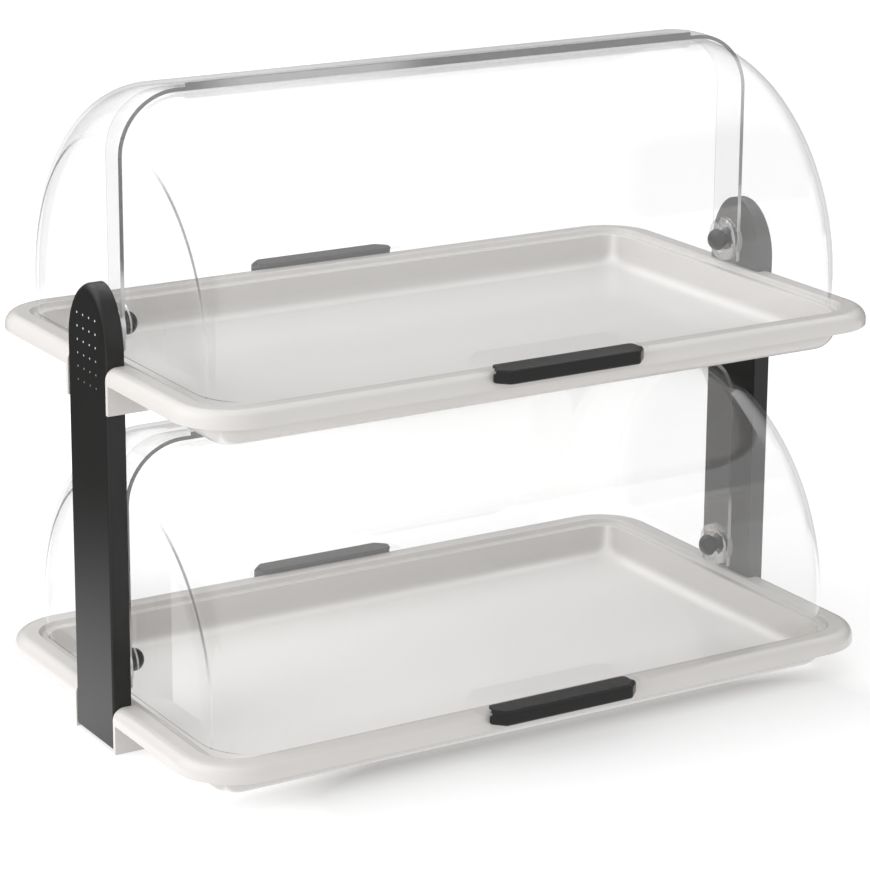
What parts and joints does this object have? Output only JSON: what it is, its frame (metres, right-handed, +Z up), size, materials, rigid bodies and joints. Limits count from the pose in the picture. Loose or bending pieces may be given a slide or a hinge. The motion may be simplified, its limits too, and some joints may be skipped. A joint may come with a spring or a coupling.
{
  "type": "countertop bread display bin",
  "caption": "Tiered countertop bread display bin with white trays between two black posts and clear roll-top half covers that turn about one axis per tier.",
  "frame": {"origin": "middle of the footprint, on the surface that the pads stand on", "axes": "+X along the trays to the right-hand post seen from the front, +Y from the front to the rear, +Z up"},
  "size_m": [0.53, 0.346, 0.4394],
  "materials": {
    "white_tray": "glossy off-white moulded plastic",
    "black_post": "satin black moulded plastic",
    "clear_cover": "clear polished sheet",
    "black_handle": "glossy black moulded plastic",
    "black_knob": "glossy black moulded plastic",
    "black_bush": "black acetal",
    "steel_stud": "plated steel",
    "brass_insert": "plain brass",
    "rubber_pad": "black rubber"
  },
  "bodies": {
    "stand": {"tray_lower": "white_tray", "tray_upper": "white_tray", "post_left": "black_post", "post_right": "black_post", "knob_left_lower": "black_knob", "pivot_bush_left_lower": "black_bush", "pivot_stud_left_lower": "steel_stud", "threaded_insert_left_lower": "brass_insert", "knob_right_lower": "black_knob", "pivot_bush_right_lower": "black_bush", "pivot_stud_right_lower": "steel_stud", "threaded_insert_right_lower": "brass_insert", "knob_left_upper": "black_knob", "pivot_bush_left_upper": "black_bush", "pivot_stud_left_upper": "steel_stud", "threaded_insert_left_upper": "brass_insert", "knob_right_upper": "black_knob", "pivot_bush_right_upper": "black_bush", "pivot_stud_right_upper": "steel_stud", "threaded_insert_right_upper": "brass_insert", "foot_pad_front_left": "rubber_pad", "foot_pad_front_right": "rubber_pad", "foot_pad_rear_left": "rubber_pad", "foot_pad_rear_right": "rubber_pad"},
    "front_half_lower": {"cover_front_lower": "clear_cover", "handle_front_lower": "black_handle"},
    "rear_half_lower": {"cover_rear_lower": "clear_cover", "handle_rear_lower": "black_handle"},
    "front_half_upper": {"cover_front_upper": "clear_cover", "handle_front_upper": "black_handle"},
    "rear_half_upper": {"cover_rear_upper": "clear_cover", "handle_rear_upper": "black_handle"}
  },
  "joints": [
    {"name": "front_half_lower_roll", "type": "hinge", "parent": "stand", "child": "front_half_lower", "pos_m": [0, 0, 0.0516], "axis": [-1, 0, 0], "range_deg": [0, 44]},
    {"name": "rear_half_lower_roll", "type": "hinge", "parent": "stand", "child": "rear_half_lower", "pos_m": [0, 0, 0.0516], "axis": [1, 0, 0], "range_deg": [0, 44]},
    {"name": "front_half_upper_roll", "type": "hinge", "parent": "stand", "child": "front_half_upper", "pos_m": [0, 0, 0.2836], "axis": [-1, 0, 0], "range_deg": [0, 44]},
    {"name": "rear_half_upper_roll", "type": "hinge", "parent": "stand", "child": "rear_half_upper", "pos_m": [0, 0, 0.2836], "axis": [1, 0, 0], "range_deg": [0, 44]}
  ]
}
